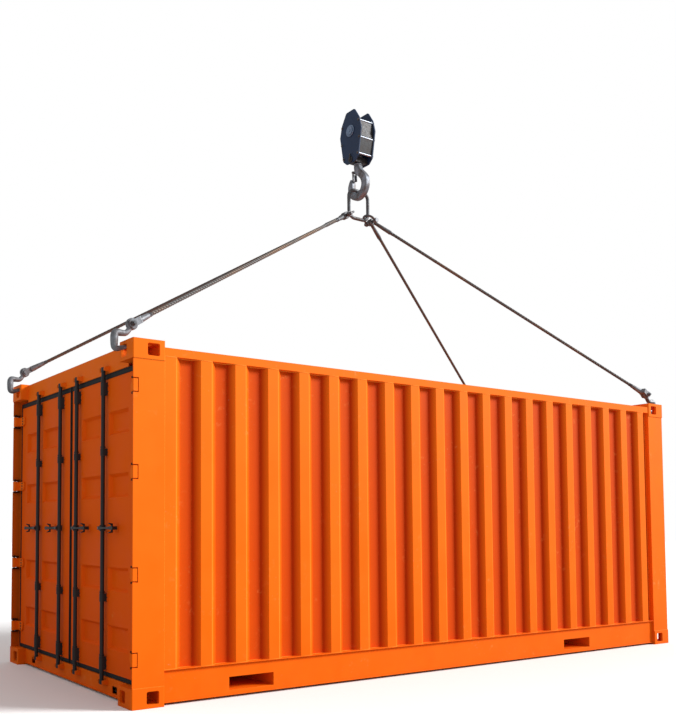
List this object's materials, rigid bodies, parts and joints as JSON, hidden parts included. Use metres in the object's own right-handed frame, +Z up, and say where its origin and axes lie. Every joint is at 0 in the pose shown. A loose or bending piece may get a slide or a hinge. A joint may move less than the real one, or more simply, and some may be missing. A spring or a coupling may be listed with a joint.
{
  "type": "shipping container on a crane sling",
  "caption": "Corrugated steel shipping container with hinged rear doors and turning lock rods, hung by wire rope legs with end hooks from a master link in a crane's hook block",
  "frame": {"origin": "on the ground under the middle of the container", "axes": "+X from the door end to the closed end, +Y across to the left side seen from the doors, +Z up"},
  "size_m": [6.2352, 2.438, 5.246],
  "materials": {
    "orange_paint": "corrosion-resisting orange paint, lightly worn",
    "sheet_paint": "corrosion-resisting orange paint, lightly worn",
    "black_paint": "black paint on steel bars, worn",
    "gasket_rubber": "matte black extruded rubber",
    "plywood": "varnished plywood boards",
    "forged_steel": "dull grey forged steel",
    "wire_rope": "greased stranded steel rope with pressed ends",
    "block_paint": "dark blue paint on steel plate",
    "block_steel": "dark grey steel",
    "bright_steel": "bright machined steel"
  },
  "bodies": {
    "container": {"top_castings": "orange_paint", "bottom_castings": "orange_paint", "rear_post_right": "orange_paint", "rear_post_left": "orange_paint", "front_post_right": "orange_paint", "front_post_left": "orange_paint", "door_header": "orange_paint", "door_sill": "orange_paint", "front_top_rail": "orange_paint", "front_base_rail": "orange_paint", "top_rail_right": "orange_paint", "top_rail_left": "orange_paint", "base_rail_right": "orange_paint", "base_rail_left": "orange_paint", "cross_members": "orange_paint", "fork_pockets": "orange_paint", "side_wall_right": "sheet_paint", "side_wall_left": "sheet_paint", "front_wall": "sheet_paint", "roof_panel": "sheet_paint", "rod_keepers": "black_paint", "hinge_pins": "black_paint", "floor_deck": "plywood", "end_hooks": "forged_steel", "leg_forks": "forged_steel", "leg_eyes": "forged_steel", "sling_shackles": "forged_steel", "master_link": "forged_steel", "crane_hook": "forged_steel", "sling_legs": "wire_rope"},
    "door_right": {"door_right": "orange_paint", "door_gasket_right": "gasket_rubber", "hinge_straps_right": "orange_paint", "door_furniture_right": "black_paint"},
    "door_left": {"door_left": "orange_paint", "door_gasket_left": "gasket_rubber", "hinge_straps_left": "orange_paint", "door_furniture_left": "black_paint"},
    "lock_right_outer": {"lock_rod_right_outer": "black_paint", "rod_handle_right_outer": "black_paint"},
    "lock_right_inner": {"lock_rod_right_inner": "black_paint", "rod_handle_right_inner": "black_paint"},
    "lock_left_outer": {"lock_rod_left_outer": "black_paint", "rod_handle_left_outer": "black_paint"},
    "lock_left_inner": {"lock_rod_left_inner": "black_paint", "rod_handle_left_inner": "black_paint"},
    "hook_block": {"block_cheeks": "block_paint", "block_crosshead": "block_steel", "rope_guards": "block_steel", "tie_bars": "bright_steel", "sheave_axle": "bright_steel"},
    "sheaves": {"sheaves": "block_steel"},
    "latch": {"hook_latch": "bright_steel"}
  },
  "joints": [
    {"name": "door_right_hinge", "type": "hinge", "parent": "container", "child": "door_right", "pos_m": [-3.007, -1.195, 1.2], "axis": [0, 0, 1], "range_deg": [0, 260]},
    {"name": "lock_right_outer_turn", "type": "hinge", "parent": "door_right", "child": "lock_right_outer", "pos_m": [-2.989, -0.659, 1.2], "axis": [0, 0, 1], "range_deg": [-100, 0]},
    {"name": "lock_right_inner_turn", "type": "hinge", "parent": "door_right", "child": "lock_right_inner", "pos_m": [-2.989, -0.169, 1.2], "axis": [0, 0, 1], "range_deg": [-100, 0]},
    {"name": "door_left_hinge", "type": "hinge", "parent": "container", "child": "door_left", "pos_m": [-3.007, 1.195, 1.2], "axis": [0, 0, -1], "range_deg": [0, 260]},
    {"name": "lock_left_outer_turn", "type": "hinge", "parent": "door_left", "child": "lock_left_outer", "pos_m": [-2.989, 0.659, 1.2], "axis": [0, 0, -1], "range_deg": [-100, 0]},
    {"name": "lock_left_inner_turn", "type": "hinge", "parent": "door_left", "child": "lock_left_inner", "pos_m": [-2.989, 0.169, 1.2], "axis": [0, 0, -1], "range_deg": [-100, 0]},
    {"name": "block_swivel", "type": "hinge", "parent": "container", "child": "hook_block", "pos_m": [0, 0, 4.76], "axis": [0, 0, 1], "continuous": true},
    {"name": "sheave_spin", "type": "hinge", "parent": "hook_block", "child": "sheaves", "pos_m": [0, 0, 5.046], "axis": [1, 0, 0], "continuous": true},
    {"name": "latch_spring", "type": "hinge", "parent": "container", "child": "latch", "pos_m": [0, 0.052, 4.664], "axis": [1, 0, 0], "range_deg": [-30, 0], "stiffness_Nm_per_rad": 0.5, "springref_deg": 34.38}
  ]
}
